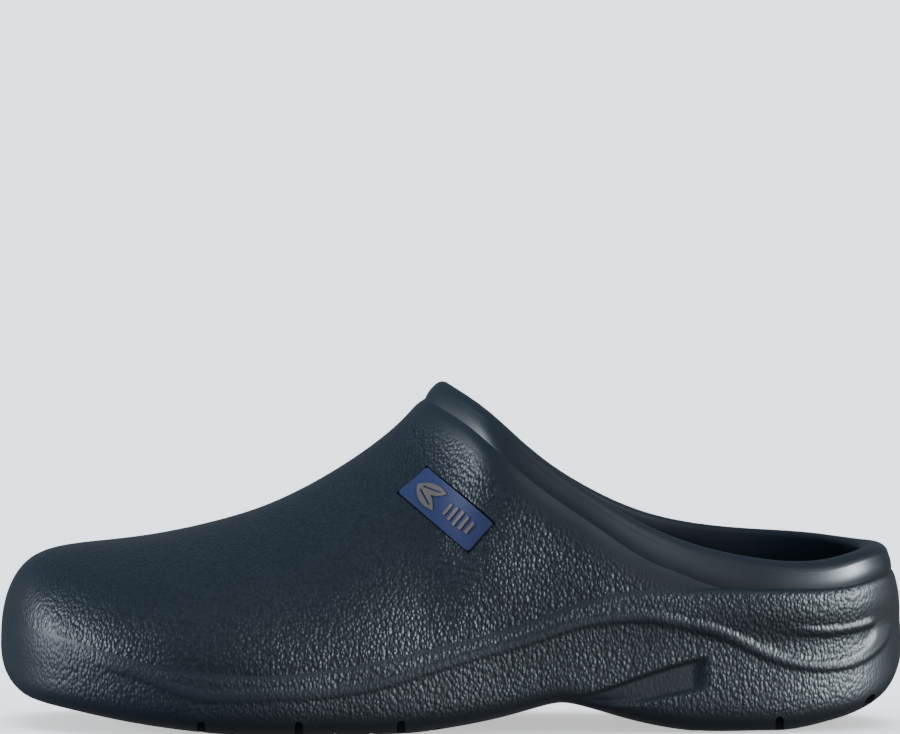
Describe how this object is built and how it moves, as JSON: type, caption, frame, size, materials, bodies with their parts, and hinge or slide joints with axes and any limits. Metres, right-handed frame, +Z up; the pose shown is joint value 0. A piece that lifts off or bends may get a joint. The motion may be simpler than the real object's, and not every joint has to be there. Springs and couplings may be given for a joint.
{
  "type": "garden clog",
  "caption": "Slip-on moulded garden clog for the left foot, with a closed toe, open heel collar, side badge and loose felt insole.",
  "frame": {"origin": "on the ground under the middle of the clog's box", "axes": "toe towards -X, heel towards +X, outer side of the foot towards -Y, +Z up"},
  "size_m": [0.284, 0.1088, 0.1083],
  "materials": {
    "clog_upper": "satin pebbled skin",
    "clog_sole": "satin pebbled skin",
    "insole_foam": "matte foam",
    "insole_felt": "short brown felt",
    "insole_thread": "sewing thread",
    "insole_ink": "flat dark print",
    "badge_blue": "soft satin plastic",
    "badge_grey": "pewter look"
  },
  "bodies": {
    "clog": {"upper_shell": "clog_upper", "sole_unit": "clog_sole", "badge_plate": "badge_blue", "badge_motif": "badge_grey", "insole_foam_front": "insole_foam", "insole_cover_front": "insole_felt", "insole_stitching_front": "insole_thread"},
    "insole_heel": {"insole_foam_rear": "insole_foam", "insole_cover_rear": "insole_felt", "insole_stitching_rear": "insole_thread", "insole_print": "insole_ink"}
  },
  "joints": [
    {"name": "insole_lift", "type": "hinge", "parent": "clog", "child": "insole_heel", "pos_m": [0.014, 0, 0.02335], "axis": [0, -1, 0], "range_deg": [0, 35]}
  ]
}
